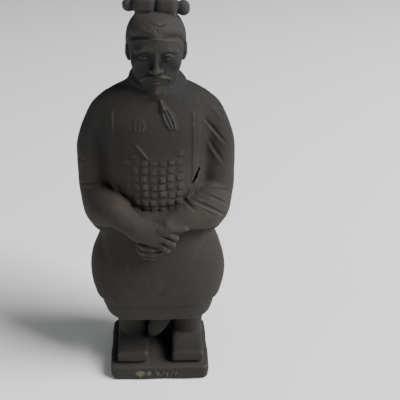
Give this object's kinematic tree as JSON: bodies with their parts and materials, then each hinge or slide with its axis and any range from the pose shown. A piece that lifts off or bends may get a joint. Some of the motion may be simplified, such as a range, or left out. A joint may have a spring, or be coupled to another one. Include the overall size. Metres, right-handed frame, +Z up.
{
  "type": "terracotta warrior statue",
  "caption": "Standing figure of an armoured general with crossed hands, moulded in dark clay in one piece with its block plinth.",
  "frame": {"origin": "middle of the plinth's underside, on the surface the figure stands on", "axes": "+Z up along the figure, -Y out of the figure's chest, +X to the figure's left hand"},
  "size_m": [0.0753, 0.0565, 0.2002],
  "materials": {
    "dark_clay": "matt, unglazed, smoke-blackened clay"
  },
  "bodies": {
    "root": {"warrior": "dark_clay"}
  },
  "joints": []
}
